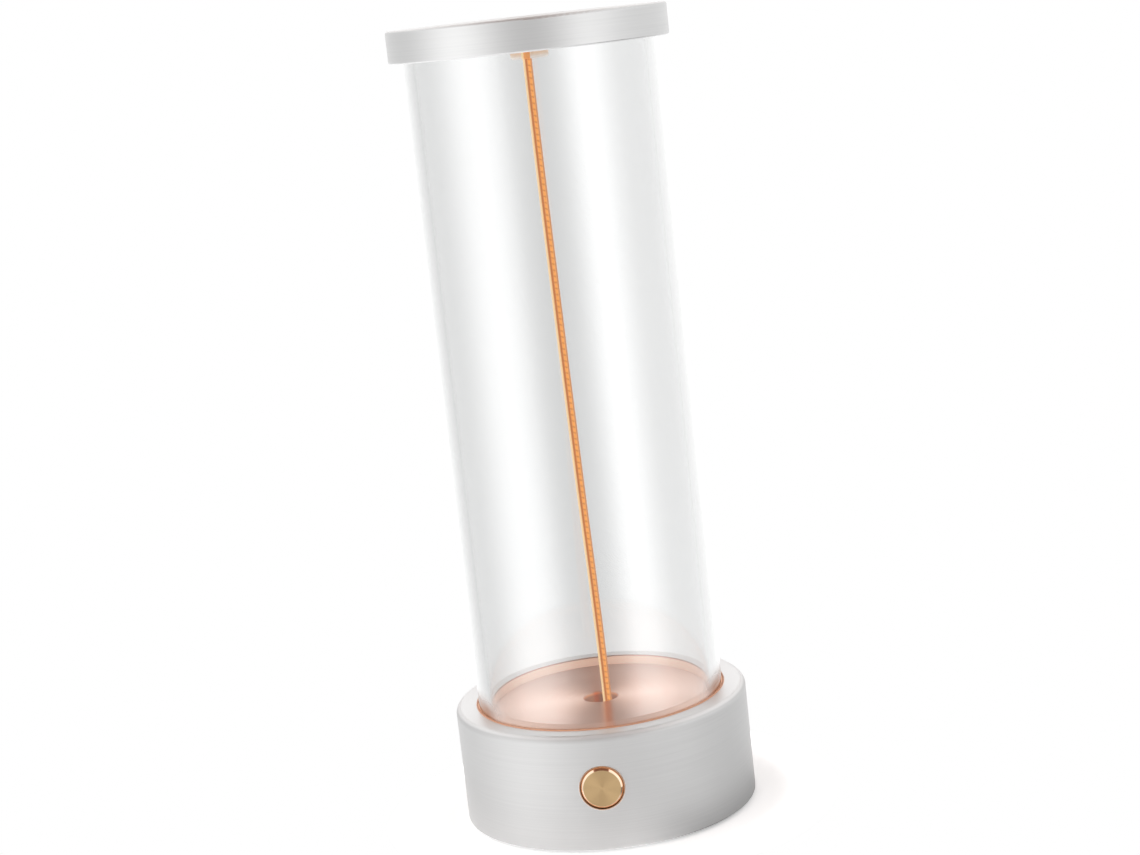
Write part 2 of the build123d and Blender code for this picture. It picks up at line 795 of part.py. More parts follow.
lead_routes = {
    "cell_lead_positive": [
        (cell_tab_x, cell_y, 15.5),
        (cell_tab_x, cell_y + 0.8, 21.0),
        (cell_tab_x - 3.3, cell_y + 8.0, 25.6),
        (cell_tab_x - 12.8, socket_block_y - 0.2, 26.6),
        (cell_socket_x - half_pitch, socket_block_y, 25.8),
        (cell_socket_x - half_pitch, socket_block_y, socket_block_top_z),
    ],
    "cell_lead_negative": [
        (-cell_tab_x, cell_y, 13.5),
        (-cell_tab_x - 0.9, cell_y + 7.5, 5.7),
        (-cell_tab_x + 9.3, cell_y + 9.8, 7.0),
        (-9.0, cell_y + 9.3, 7.6),
        (7.0, cell_y + 9.6, 7.0),
        (cell_tab_x - 14.3, cell_y + 9.4, 7.6),
        (cell_tab_x - 5.3, cell_y + 9.8, 9.4),
        (cell_tab_x - 1.8, cell_y + 12.2, 14.8),
        (cell_tab_x - 6.4, socket_block_y - 1.2, 20.4),
        (cell_tab_x - 13.3, socket_block_y + 0.1, 22.8),
        (cell_socket_x + half_pitch, socket_block_y, 22.4),
        (cell_socket_x + half_pitch, socket_block_y, socket_block_top_z),
    ],
    "switch_lead_live": [
        (switch_lead_x, tab_front_y, button_z + half_pitch),
        (switch_lead_x, tab_front_y + 7.4, button_z + half_pitch),
        (-10.8, cell_y - 25.3, 25.0),
        (-11.2, cell_y - 12.3, 26.4),
        (-11.3, cell_y + 2.7, 26.6),
        (-cell_socket_x - half_pitch, socket_block_y, 25.5),
        (-cell_socket_x - half_pitch, socket_block_y, socket_block_top_z),
    ],
    "switch_lead_return": [
        (switch_lead_x, tab_front_y, button_z - half_pitch),
        (switch_lead_x, tab_front_y + 7.4, button_z - half_pitch),
        (-9.6, cell_y - 24.3, 23.6),
        (-9.4, cell_y - 12.8, 25.2),
        (-9.4, cell_y + 1.7, 25.3),
        (-cell_socket_x + half_pitch, socket_block_y, 24.4),
        (-cell_socket_x + half_pitch, socket_block_y, socket_block_top_z),
    ],
    "filament_lead_live": [
        (filament_plug_x - half_pitch, filament_plug_y, filament_lead_z),
        (filament_plug_x - half_pitch, filament_plug_y + 7.2, filament_lead_z),
        (-3.0, 16.5, 26.6),
        (-half_pitch, socket_block_y, 25.3),
        (-half_pitch, socket_block_y, socket_block_top_z),
    ],
    "filament_lead_return": [
        (filament_plug_x + half_pitch, filament_plug_y, filament_lead_z),
        (filament_plug_x + half_pitch, filament_plug_y + 7.2, filament_lead_z),
        (-1.2, 16.5, 26.7),
        (half_pitch, socket_block_y, 25.3),
        (half_pitch, socket_block_y, socket_block_top_z),
    ],
}

pieces = {
    "base_housing": base_housing(),
    "bottom_cover": bottom_cover(),
    "cover_screws": cover_screws(),
    "foot_pad": foot_pad(),
    "deck_plate": deck_plate(),
    "glass_tube": glass_tube(),
    "seat_sleeve": seat_sleeve(),
    "lower_tube_seal": tube_seal(tube_seat_z),
    "upper_tube_seal": tube_seal(tube_top_z),
    "top_cap": top_cap(),
    "cap_anchor": cap_anchor(),
    "anchor_set_screw": anchor_set_screw(),
    "upper_ferrule": upper_ferrule(),
    "lower_ferrule": lower_ferrule(),
    "filament": filament(),
    "filament_board": filament_board(),
    "filament_board_screws": filament_board_screws(),
    "filament_plug": filament_plug(),
    "carrier": carrier(),
    "carrier_screws": carrier_screws(),
    "cell": cell(),
    "cell_tabs": cell_tabs(),
    "cell_pads": cell_pads(),
    "main_board": main_board(),
    "main_board_screws": main_board_screws(),
    "board_chips": board_chips(),
    "lead_sockets": lead_sockets(),
    "charging_socket": charging_socket(),
    "charge_light_guide": charge_light_guide(),
    "button_cap": button_cap(),
    "button_clip": button_clip(),
    "button_bezel": button_bezel(),
    "button_bush": button_bush(),
    "bush_nut": bush_nut(),
    "button_spring": button_spring(),
    "switch_body": switch_body(),
    "switch_plunger": switch_plunger(),
    "switch_board": switch_board(),
    "switch_board_screws": switch_board_screws(),
}
for lead_name, route in lead_routes.items():
    pieces[lead_name] = swept_tube(route, lead_radius, lead_name)

os.makedirs("parts", exist_ok=True)
for piece_name, shape in pieces.items():
    solids = shape if isinstance(shape, list) else [shape]
    export_step(Compound(children=solids), f"parts/{piece_name}.step")
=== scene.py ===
import math

import bpy
from mathutils import Matrix, Vector


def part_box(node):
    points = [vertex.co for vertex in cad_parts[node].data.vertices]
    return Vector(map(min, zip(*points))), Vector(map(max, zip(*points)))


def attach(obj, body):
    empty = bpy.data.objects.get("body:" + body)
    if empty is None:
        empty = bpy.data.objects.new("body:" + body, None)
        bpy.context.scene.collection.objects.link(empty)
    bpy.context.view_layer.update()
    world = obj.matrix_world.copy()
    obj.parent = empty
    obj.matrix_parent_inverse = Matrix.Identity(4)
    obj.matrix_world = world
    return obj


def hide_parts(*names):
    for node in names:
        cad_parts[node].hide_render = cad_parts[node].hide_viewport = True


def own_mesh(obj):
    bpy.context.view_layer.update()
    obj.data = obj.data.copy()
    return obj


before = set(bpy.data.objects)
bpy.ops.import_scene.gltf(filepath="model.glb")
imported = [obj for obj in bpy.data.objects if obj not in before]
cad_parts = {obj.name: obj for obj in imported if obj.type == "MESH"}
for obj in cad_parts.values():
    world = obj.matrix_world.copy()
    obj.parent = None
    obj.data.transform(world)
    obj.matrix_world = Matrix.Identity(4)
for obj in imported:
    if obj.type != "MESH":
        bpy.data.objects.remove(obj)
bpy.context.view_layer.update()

# The photographer's place. The camera stands about three quarters of a metre from the lamp,
# level with its cap and a little to the right of the button, looks down on the base, and is
# rolled, which is why the lamp leans to the left in the picture.
mm = 0.001
picture_width = 1140
lamp_to_camera = 760.33 * mm
camera_height = 275.15 * mm
camera_sidestep = 0.95 * mm
camera_round_lamp = math.radians(3.2)
camera_swing = math.radians(-0.095)
camera_dip = math.radians(10.614)
camera_roll = math.radians(6.35)
focal_length_in_pixels = 2292.55
film_width = 36
nearest_seen = 10 * mm
furthest_seen = 100

straight_up = Vector((0, 0, 1))
sideways = Vector((math.cos(camera_round_lamp), math.sin(camera_round_lamp), 0))
towards_lamp = Vector((-math.sin(camera_round_lamp), math.cos(camera_round_lamp), 0))
heading = towards_lamp * math.cos(camera_swing) + sideways * math.sin(camera_swing)
line_of_sight = heading * math.cos(camera_dip) - straight_up * math.sin(camera_dip)
level_right = heading.cross(straight_up)
level_top = level_right.cross(line_of_sight)
picture_right = level_right * math.cos(camera_roll) - level_top * math.sin(camera_roll)
picture_top = level_top * math.cos(camera_roll) + level_right * math.sin(camera_roll)

camera = bpy.data.objects.new("camera", bpy.data.cameras.new("camera"))
bpy.context.scene.collection.objects.link(camera)
camera_place = sideways * camera_sidestep - towards_lamp * lamp_to_camera
camera_place += straight_up * camera_height
turned = Matrix((picture_right, picture_top, -line_of_sight)).transposed().to_4x4()
camera.matrix_world = Matrix.Translation(camera_place) @ turned
camera.data.sensor_width = film_width
camera.data.lens = focal_length_in_pixels / picture_width * film_width
camera.data.clip_start = nearest_seen
camera.data.clip_end = furthest_seen
bpy.context.scene.camera = camera
bpy.context.scene.view_settings.view_transform = "Standard"


# The studio's light. A tent of white cloth lights the lamp evenly. Metal and glass see two
# brighter soft boxes in it, left and right of the camera, greyer cloth between them, and darker
# openings that shade the metal: low on the right, and two warm ones overhead.
def add_node(tree, kind, values=None, **settings):
    """A shader node; values holds its inputs, as numbers or as other nodes' outputs."""
    made = tree.nodes.new(kind)
    for key, value in settings.items():
        setattr(made, key, value)
    for key, value in (values or {}).items():
        if isinstance(value, bpy.types.NodeSocket):
            tree.links.new(value, made.inputs[key])
        else:
            made.inputs[key].default_value = value
    return made


def work_out(tree, operation, first, second=0.0, third=0.0):
    """One sum on numbers."""
    values = {0: first, 1: second, 2: third}
    return add_node(tree, "ShaderNodeMath", values, operation=operation).outputs[0]


def work_out_places(tree, operation, first, second=(0, 0, 0)):
    """One sum on places or directions; a length or a dot product comes back as a number."""
    values = {0: first, 1: second}
    made = add_node(tree, "ShaderNodeVectorMath", values, operation=operation)
    return made.outputs["Value" if operation in ("LENGTH", "DOT_PRODUCT") else "Vector"]


def parts_of(tree, place):
    """How far a place or a direction goes to the lamp's right, to its back and up."""
    return add_node(tree, "ShaderNodeSeparateXYZ", {0: place}).outputs


def scale_range(tree, value, low, high, to_low, to_high, easing="SMOOTHSTEP"):
    """Maps a value from one range to another and stops at its ends."""
    values = {
        "Value": value, "From Min": low, "From Max": high, "To Min": to_low, "To Max": to_high,
    }
    return add_node(tree, "ShaderNodeMapRange", values, interpolation_type=easing).outputs[0]


def blend(tree, share, first, second):
    """A number between two others."""
    return add_node(tree, "ShaderNodeMix", {0: share, 2: first, 3: second}).outputs[0]


def blend_colours(tree, share, first, second, how="MIX"):
    """A colour between two others, each a tone or another node's output."""
    values = {0: share}
    for key, colour in ((6, first), (7, second)):
        values[key] = colour if isinstance(colour, bpy.types.NodeSocket) else (*colour, 1)
    return add_node(tree, "ShaderNodeMix", values, data_type="RGBA", blend_type=how).outputs[2]


background_white = 1.0
tent_peak = 2.2
# Brightness of the cloth by compass, in degrees round the lamp from the camera to the right.
tent_by_compass = [
    (-180, 1.32), (-152, 1.10), (-130, 0.80), (-106, 0.72), (-90, 0.95), (-74, 1.55),
    (-60, 1.74), (-45, 1.64), (-32, 1.12), (-22, 0.68), (-11, 0.42), (0, 0.30),
    (11, 0.42), (22, 0.72), (32, 1.25), (41, 1.72), (55, 1.80), (68, 1.40),
    (84, 1.00), (108, 0.96), (130, 1.02), (152, 1.15), (180, 1.32),
]
low_by_compass = [
    (-180, 1.10), (-140, 1.45), (-100, 1.35), (-60, 1.35), (-30, 1.40), (0, 1.30),
    (30, 0.90), (60, 0.34), (90, 0.16), (130, 0.45), (160, 1.40), (180, 1.20),
]
# Where each part of the tent is full and where it ends, by how far a look at it goes up, from
# -1 straight down to 1 straight up, or in the same measure to the side or to the front.
low_full = -0.44
low_ends = -0.32
high_white = 1.15
high_starts = 0.22
high_full = 0.52
gap_grey = 0.20
gap_warmth = (1.0, 0.60, 0.42)
gap_side_full = 0.24
gap_side_ends = 0.42
gap_height_starts = 0.50
gap_height_full = 0.72
gap_front_full = -0.12
gap_front_ends = 0.02
patch_grey = 0.20
patch_warmth = (1.0, 0.50, 0.34)
patch_towards = (0.016, -0.29, 0.957)
patch_starts = 0.84
patch_full = 0.91
underfoot_white = 1.40
underfoot_full = -0.85
underfoot_ends = -0.60
steep_full = -0.90
steep_ends = -0.72
# A black flag beside the table keeps the light underfoot off, between these points of the
# compass.
flag_starts = math.radians(30)
flag_full = math.radians(75)
flag_ends = math.radians(150)

world = bpy.data.worlds.new("studio_tent")
bpy.context.scene.world = world
world.use_nodes = True
tent = world.node_tree
tent.nodes.clear()
looking = add_node(tent, "ShaderNodeTexCoord").outputs["Generated"]
right, back, up = parts_of(tent, looking)
front = work_out(tent, "MULTIPLY", back, -1.0)
compass = work_out(tent, "ARCTAN2", right, front)
compass = work_out(tent, "SUBTRACT", compass, camera_round_lamp)
compass = work_out(tent, "WRAP", compass, math.pi, -math.pi)
compass_share = scale_range(tent, compass, -math.pi, math.pi, 0.0, 1.0, "LINEAR")


def cloth_round_lamp(stops):
    """Brightness of the tent's cloth by compass, smooth between its stops."""
    shades = add_node(tent, "ShaderNodeValToRGB", {0: compass_share})
    ramp = shades.color_ramp
    ramp.interpolation = "B_SPLINE"
    while len(ramp.elements) < len(stops):
        ramp.elements.new(0.5)
    for stop, (degrees, brightness) in zip(ramp.elements, stops):
        stop.position = (degrees + 180) / 360
        shade = brightness / tent_peak
        stop.color = (shade, shade, shade, 1)
    return work_out(tent, "MULTIPLY", shades.outputs[0], tent_peak)


cloth = cloth_round_lamp(tent_by_compass)
low_share = scale_range(tent, up, low_full, low_ends, 1.0, 0.0)
cloth = blend(tent, low_share, cloth, cloth_round_lamp(low_by_compass))
high_share = scale_range(tent, up, high_starts, high_full, 0.0, 1.0)
cloth = blend(tent, high_share, cloth, high_white)

off_middle = work_out(tent, "ABSOLUTE", right)
in_gap = scale_range(tent, off_middle, gap_side_full, gap_side_ends, 1.0, 0.0)
high_up = scale_range(tent, up, gap_height_starts, gap_height_full, 0.0, 1.0)
over_the_back = scale_range(tent, front, gap_front_full, gap_front_ends, 1.0, 0.0)
in_gap = work_out(tent, "MULTIPLY", work_out(tent, "MULTIPLY", in_gap, high_up), over_the_back)
cloth = blend(tent, in_gap, cloth, gap_grey)
near_patch = work_out_places(tent, "DOT_PRODUCT", looking, patch_towards)
in_patch = scale_range(tent, near_patch, patch_starts, patch_full, 0.0, 1.0)
cloth = blend(tent, in_patch, cloth, patch_grey)

underfoot = scale_range(tent, up, underfoot_full, underfoot_ends, 1.0, 0.0)
left_of_flag = scale_range(tent, compass, flag_starts, flag_full, 1.0, 0.0)
right_of_flag = work_out(tent, "GREATER_THAN", compass, flag_ends)
steep = scale_range(tent, up, steep_full, steep_ends, 1.0, 0.0)
unflagged = work_out(tent, "MAXIMUM", left_of_flag, right_of_flag)
unflagged = work_out(tent, "MAXIMUM", unflagged, steep)
underfoot = work_out(tent, "MULTIPLY", underfoot, unflagged)
cloth = blend(tent, underfoot, cloth, underfoot_white)

# The camera sees plain white behind the lamp and through the glass; the rest sees the tent.
path = add_node(tent, "ShaderNodeLightPath").outputs
bounced = work_out(tent, "ADD", path["Glossy Depth"], path["Diffuse Depth"])
not_bounced = work_out(tent, "LESS_THAN", bounced, 0.5)
through_glass = work_out(tent, "MULTIPLY", path["Is Transmission Ray"], not_bounced)
straight_through = work_out(tent, "MAXIMUM", path["Is Camera Ray"], through_glass)
seen_light = blend(tent, straight_through, cloth, background_white)
cloth_tone = (1, 1, 1)
for opening, warmth in ((in_patch, patch_warmth), (in_gap, gap_warmth)):
    warmed = work_out(tent, "SUBTRACT", opening, straight_through)
    cloth_tone = blend_colours(tent, warmed, cloth_tone, warmth)
sky = add_node(tent, "ShaderNodeBackground", {"Color": cloth_tone, "Strength": seen_light})
add_node(tent, "ShaderNodeOutputWorld", {0: sky.outputs[0]})


# The table under the lamp: a sheet of matt white board, cut out under the foot and unseen from
# below. It keeps the lamp's soft shadow and fades into the background at its rim. Metal sees it
# white, but greyer at the right in front, which shades the base's lower edge there.
def new_finish(name, **constants):
    """A material, its tree and its shader, whose own sockets are given with underscores."""
    made = bpy.data.materials.new(name)
    made.use_nodes = True
    tree = made.node_tree
    shader = tree.nodes["Principled BSDF"]
    for key, value in constants.items():
        shader.inputs[key.replace("_", " ")].default_value = value
    return made, tree, shader


def feed(tree, output, shader, socket):
    """Links an output to one of the shader's sockets."""
    tree.links.new(output, shader.inputs[socket])


def here(tree):
    """The place of a point on a piece, in the lamp's own frame."""
    return add_node(tree, "ShaderNodeTexCoord").outputs["Object"]


def follow(tree, noise, in_dips, on_peaks, low=0.3, high=0.7):
    """A number that follows a noise from its dips to its peaks."""
    return scale_range(tree, noise, low, high, in_dips, on_peaks, "LINEAR")


def mesh_object(name, points, faces):
    """A smooth object from points and faces, in the lamp's own frame."""
    mesh = bpy.data.meshes.new(name)
    mesh.from_pydata([tuple(p) for p in points], [], faces)
    mesh.validate()
    mesh.polygons.foreach_set("use_smooth", [True] * len(mesh.polygons))
    made = bpy.data.objects.new(name, mesh)
    bpy.context.scene.collection.objects.link(made)
    return made


def turned_shell(name, outline, steps, closed=True):
    """An outline of (radius, height) points, closed or open, turned about the lamp's axis."""
    points, faces = [], []
    count = len(outline)
    for step in range(steps):
        turn = 2 * math.pi * step / steps
        points += [(r * math.cos(turn), r * math.sin(turn), z) for r, z in outline]
    for step in range(steps):
        this, following = step * count, (step + 1) % steps * count
        for k in range(count if closed else count - 1):
            nxt = (k + 1) % count
            faces.append((this + k, following + k, following + nxt, this + nxt))
    return mesh_object(name, points, faces)


table_reach = 78 * mm
table_corners = 96
table_white = 0.82
table_contrast = 0.01
table_grain = 0.8 * mm
table_grey = 0.22
table_glow = 0.36
table_gloss = 0.52
grey_right_starts = 10 * mm
grey_right_full = 38 * mm
grey_back_full = 5 * mm
grey_back_ends = 35 * mm
rim_glow = 0.6
rim_glow_from = 56 * mm
under_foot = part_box("foot_pad")[1].x - 1 * mm
table = turned_shell("table_board", [(table_reach, 0), (under_foot, 0)], table_corners, False)
table_finish, tree, shader = new_finish(
    "white_board", Roughness=0.9, Specular_IOR_Level=0.0, Emission_Color=(1, 1, 1, 1)
)
path = add_node(tree, "ShaderNodeLightPath").outputs
place = here(tree)
right, back, up = parts_of(tree, place)
greyed = scale_range(tree, right, grey_right_starts, grey_right_full, 0.0, 1.0)
in_front = scale_range(tree, back, grey_back_full, grey_back_ends, 1.0, 0.0)
greyed = work_out(tree, "MULTIPLY", greyed, in_front)
greyed = work_out(tree, "MULTIPLY", greyed, path["Is Glossy Ray"])
values = {"Vector": place, "Scale": 1 / table_grain, "Detail": 3.0}
grain = add_node(tree, "ShaderNodeTexNoise", values).outputs[0]
white = follow(tree, grain, table_white - table_contrast, table_white + table_contrast)
feed(tree, blend(tree, greyed, white, table_grey), shader, "Base Color")
in_metal = work_out(tree, "SUBTRACT", path["Is Glossy Ray"], greyed)
in_metal = work_out(tree, "MULTIPLY", in_metal, table_gloss)
seen = work_out(tree, "MAXIMUM", path["Is Transmission Ray"], path["Is Camera Ray"])
out = work_out_places(tree, "LENGTH", place)
fading = scale_range(tree, out, rim_glow_from, table_reach, table_glow, table_glow + rim_glow)
seen = work_out(tree, "MULTIPLY", seen, fading)
feed(tree, work_out(tree, "MAXIMUM", seen, in_metal), shader, "Emission Strength")
from_below = add_node(tree, "ShaderNodeNewGeometry").outputs["Backfacing"]
unseen = add_node(tree, "ShaderNodeBsdfTransparent").outputs[0]
one_sided = add_node(tree, "ShaderNodeMixShader", {0: from_below, 1: shader.outputs[0], 2: unseen})
feed(tree, one_sided.outputs[0], tree.nodes["Material Output"], "Surface")
table.data.materials.append(table_finish)


# One big soft lamp over the photographer's left shoulder, so that the matt pieces have a light
# and a dark side. Metal and glass don't see it: they see the tent.
soft_lamp_reach = 1.5
soft_lamp_size = 1.0
soft_lamp_watts = 4.0
soft_lamp_from = Vector((-0.55, -0.75, 0.95)).normalized()
soft_lamp = bpy.data.objects.new("soft_lamp", bpy.data.lights.new("soft_lamp", "AREA"))
bpy.context.scene.collection.objects.link(soft_lamp)
soft_lamp.data.size = soft_lamp_size
soft_lamp.data.energy = soft_lamp_watts
soft_lamp.location = soft_lamp_from * soft_lamp_reach
soft_lamp.rotation_mode = "QUATERNION"
soft_lamp.rotation_quaternion = soft_lamp_from.to_track_quat("Z", "Y")
soft_lamp.visible_glossy = False


# Base housing. A cup turned from one piece of aluminium, closed on top and open below, bead
# blasted and then skimmed on the lathe, so that it has a silky sheen with hairlines round it.
def dress(node, finish):
    """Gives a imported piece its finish."""
    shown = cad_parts[node]
    shown.data.materials.clear()
    shown.data.materials.append(finish)


def off_axis(tree, place, flattened=(1, 1, 0)):
    """How far a place is from the lamp's axis, or from the axis that isn't flattened."""
    return work_out_places(
        tree, "LENGTH", work_out_places(tree, "MULTIPLY", place, flattened)
    )


def lathe_marks(tree, lines_per_mm, drift_per_mm, slant=1.7):
    """Noise drawn out round the lamp's axis, as a turning tool leaves it."""
    place = here(tree)
    right, back, up = parts_of(tree, place)
    drift = work_out(tree, "ADD", right, work_out(tree, "MULTIPLY", back, slant))
    along = add_node(
        tree,
        "ShaderNodeCombineXYZ",
        {
            0: work_out(tree, "MULTIPLY", off_axis(tree, place), lines_per_mm / mm),
            1: work_out(tree, "MULTIPLY", up, lines_per_mm / mm),
            2: work_out(tree, "MULTIPLY", drift, drift_per_mm / mm),
        },
    ).outputs[0]
    values = {"Vector": along, "Scale": 1.0, "Detail": 3.0, "Roughness": 0.6}
    return add_node(tree, "ShaderNodeTexNoise", values).outputs[0]


def cloudiness(tree, size, detail=2.0):
    """Soft noise in space, for handling marks and uneven finish."""
    values = {"Vector": here(tree), "Scale": 1 / size, "Detail": detail, "Roughness": 0.55}
    return add_node(tree, "ShaderNodeTexNoise", values).outputs[0]


def brush_round(tree, shader, axis="Z"):
    """Lays the metal's fine scratches in circles round an axis."""
    circles = add_node(tree, "ShaderNodeTangent", direction_type="RADIAL", axis=axis)
    feed(tree, circles.outputs[0], shader, "Tangent")


def roughen(tree, marks, shader, in_dips, on_peaks):
    """Roughness that follows the marks of a noise."""
    feed(tree, follow(tree, marks, in_dips, on_peaks), shader, "Roughness")


def relief(tree, height, shader, strength, depth):
    """Bump from a height."""
    values = {"Height": height, "Strength": strength, "Distance": depth}
    feed(tree, add_node(tree, "ShaderNodeBump", values).outputs[0], shader, "Normal")


# The hairlines, the marks of hands over them, and the edges that cloths have polished, which
# start and are full by how nearly a face looks the way that it would with its edges rounded.
# The polished edges and the curved edges are painted paler, a painted highlight, and the flat
# top face is painted lighter, painted light.
hairlines_per_mm = 2.2
hairline_drift = 0.012
handling_marks = 26 * mm
handling_share = 0.35
burnish_width = 0.5 * mm
burnish = 0.08
burnish_starts, burnish_full = 0.999, 0.90
top_face_painted_light = (0.84, 0.84, 0.84)
top_face_roughness = 0.42
edge_painted_highlight = (0.92, 0.92, 0.92)
edge_roughness = 0.64
# How far a face looks up, from -1 to 1: where the rounded edges start and are full, where the
# flat underside is full and ends, and where the skimmed top face starts and is full.
rounding_starts, rounding_full = 0.50, 0.90
underside_full, underside_ends = -0.99, -0.96
top_starts, top_full = 0.94, 0.995


def turned_aluminium(name, light, dark, roughness, streak):
    """Satin aluminium with hairlines round the lamp's axis and polished edges; the edges have a
    painted highlight and the flat top is painted lighter.
    """
    finish, tree, shader = new_finish(
        name, Metallic=1.0, Anisotropic=0.4, Anisotropic_Rotation=0.25
    )
    brush_round(tree, shader)
    hairlines = lathe_marks(tree, hairlines_per_mm, hairline_drift)
    marks = blend(tree, handling_share, hairlines, cloudiness(tree, handling_marks))
    tone = follow(tree, marks, 0.0, 1.0, 0.35, 0.65)
    eased = add_node(tree, "ShaderNodeBevel", {"Radius": burnish_width}, samples=4).outputs[0]
    face = add_node(tree, "ShaderNodeNewGeometry").outputs["Normal"]
    alike = work_out_places(tree, "DOT_PRODUCT", eased, face)
    burnished_and_highlit = scale_range(tree, alike, burnish_starts, burnish_full, 0.0, 1.0)
    looks_up = parts_of(tree, face)[2]
    tilted = work_out(tree, "ABSOLUTE", looks_up)
    rounded_and_highlit = scale_range(tree, tilted, rounding_starts, rounding_full, 0.0, 1.0)
    not_under = scale_range(tree, looks_up, underside_full, underside_ends, 0.0, 1.0)
    rounded_and_highlit = work_out(tree, "MULTIPLY", rounded_and_highlit, not_under)
    skimmed_and_lightened = scale_range(tree, looks_up, top_starts, top_full, 0.0, 1.0)
    colour = blend_colours(tree, tone, dark, light)
    # Edges and top face painted paler than the metal: painted highlight and painted light.
    for share, other in ((burnished_and_highlit, edge_painted_highlight), (rounded_and_highlit, edge_painted_highlight), (skimmed_and_lightened, top_face_painted_light)):
        colour = blend_colours(tree, share, colour, other)
    feed(tree, colour, shader, "Base Color")
    rough = follow(tree, marks, roughness + streak, roughness - streak)
    rough = work_out(tree, "MULTIPLY_ADD", burnished_and_highlit, -burnish, rough)
    rough = blend(tree, rounded_and_highlit, rough, edge_roughness)
    feed(tree, blend(tree, skimmed_and_lightened, rough, top_face_roughness), shader, "Roughness")
    relief(tree, hairlines, shader, 0.04, 0.02 * mm)
    return finish


base_light = (0.690, 0.690, 0.688)
base_dark = (0.665, 0.665, 0.664)
dress("base_housing", turned_aluminium("base_aluminium", base_light, base_dark, 0.64, 0.03))


# Bottom cover, its four screws and the foot. The cover is a thin turned disc; the foot is a
# ring of soft black rubber glued over the screws' heads, so that the lamp doesn't slide.
cover_light = (0.56, 0.56, 0.56)
cover_dark = (0.50, 0.50, 0.50)
dress("bottom_cover", turned_aluminium("cover_aluminium", cover_light, cover_dark, 0.42, 0.05))


def plated_steel(name, tone, roughness=0.28):
    """Zinc plated steel with a faint cloudiness and fine scratches."""
    finish, tree, shader = new_finish(name, Metallic=1.0)
    clouds = cloudiness(tree, 1.6 * mm, 4.0)
    dull = tuple(c * 0.82 for c in tone)
    feed(tree, blend_colours(tree, clouds, dull, tone), shader, "Base Color")
    roughen(tree, clouds, shader, roughness + 0.1, roughness - 0.06)
    relief(tree, cloudiness(tree, 0.25 * mm, 3.0), shader, 0.15, 0.01 * mm)
    return finish


def soft_rubber(name, tone, grain, roughness=0.75):
    """Rubber or foam with a fine open grain and a paler bloom on it."""
    finish, tree, shader = new_finish(name, Specular_IOR_Level=0.35)
    specks = cloudiness(tree, grain, 5.0)
    bloom = tuple(min(1.0, c * 1.35 + 0.01) for c in tone)
    feed(tree, blend_colours(tree, specks, tone, bloom), shader, "Base Color")
    roughen(tree, specks, shader, roughness - 0.12, roughness + 0.12)
    relief(tree, specks, shader, 0.4, grain * 0.2)
    return finish


screw_steel = plated_steel("screw_steel", (0.66, 0.66, 0.68))
dress("cover_screws", screw_steel)
dress("foot_pad", soft_rubber("foot_rubber", (0.035, 0.035, 0.036), 0.35 * mm))


# Deck plate. A shallow lid of rose copper in the tube's foot, faced on the lathe with fine
# rings, with a pressed dish in its middle that the filament comes out of. The dish is painted a
# warmer orange, as lit, and darker with its depth, painted shade, and a thin painted shadow
# line runs round the deck's rim.
copper_bright = (0.99, 0.64, 0.49)
copper_deep = (0.93, 0.54, 0.39)
copper_dish_painted_light = (1.0, 0.46, 0.22)
copper_painted_shade = (0.60, 0.26, 0.13)
facing_lines_per_mm = 3.0
facing_drift = 0.03
tarnish_size = 14 * mm
tarnish_share = 0.3
dish_lip = 6.1 * mm
dish_lip_width = 0.3 * mm
dish_painted_shade_from = 0.4 * mm
dish_painted_shade_to = 1.3 * mm
deck_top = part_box("deck_plate")[1]
deck_rim = deck_top.x - 0.35 * mm
deck_rim_shadow_line = 0.1 * mm
copper_finish, tree, shader = new_finish(
    "rose_copper", Metallic=1.0, Anisotropic=1.0, Anisotropic_Rotation=0.25
)
brush_round(tree, shader)
brushing = lathe_marks(tree, facing_lines_per_mm, facing_drift)
tone = follow(tree, brushing, 0.0, 1.0, 0.32, 0.68)
tone = blend(tree, tarnish_share, tone, cloudiness(tree, tarnish_size, 3.0))
spun = blend_colours(tree, tone, copper_deep, copper_bright)
place = here(tree)
out = off_axis(tree, place)
in_dish = scale_range(tree, out, dish_lip - dish_lip_width, dish_lip, 1.0, 0.0)
spun = blend_colours(tree, in_dish, spun, copper_dish_painted_light)
# Painted shade: darker deeper in the dish and in a thin line at the deck's rim.
depth = work_out(tree, "SUBTRACT", deck_top.z, parts_of(tree, place)[2])
dish_painted_shade = scale_range(tree, depth, dish_painted_shade_from, dish_painted_shade_to, 0.0, 1.0)
rim_painted_shadow = scale_range(tree, out, deck_rim - deck_rim_shadow_line, deck_rim, 0.0, 1.0)
painted_shade = work_out(tree, "MAXIMUM", dish_painted_shade, rim_painted_shadow)
feed(tree, blend_colours(tree, painted_shade, spun, copper_painted_shade), shader, "Base Color")
roughen(tree, brushing, shader, 0.38, 0.33)
relief(tree, brushing, shader, 0.08, 0.02 * mm)
dress("deck_plate", copper_finish)


# Glass tube. Drawn clear glass, 84 mm across with a 4 mm wall, cut to length and fire polished
# at both ends. It stands in the base's seat and carries the cap. Where its foot is seen edge
# on, the copper of the seat, as the thick wall would show it, is painted on its outer face.
def rounded_corner(centre_radius, centre_height, size, start, steps=4):
    """Points of a quarter circle in an outline, from a start angle in degrees."""
    turns = [math.radians(start + 90 * k / steps) for k in range(steps + 1)]
    return [
        (centre_radius + size * math.cos(turn), centre_height + size * math.sin(turn))
        for turn in turns
    ]


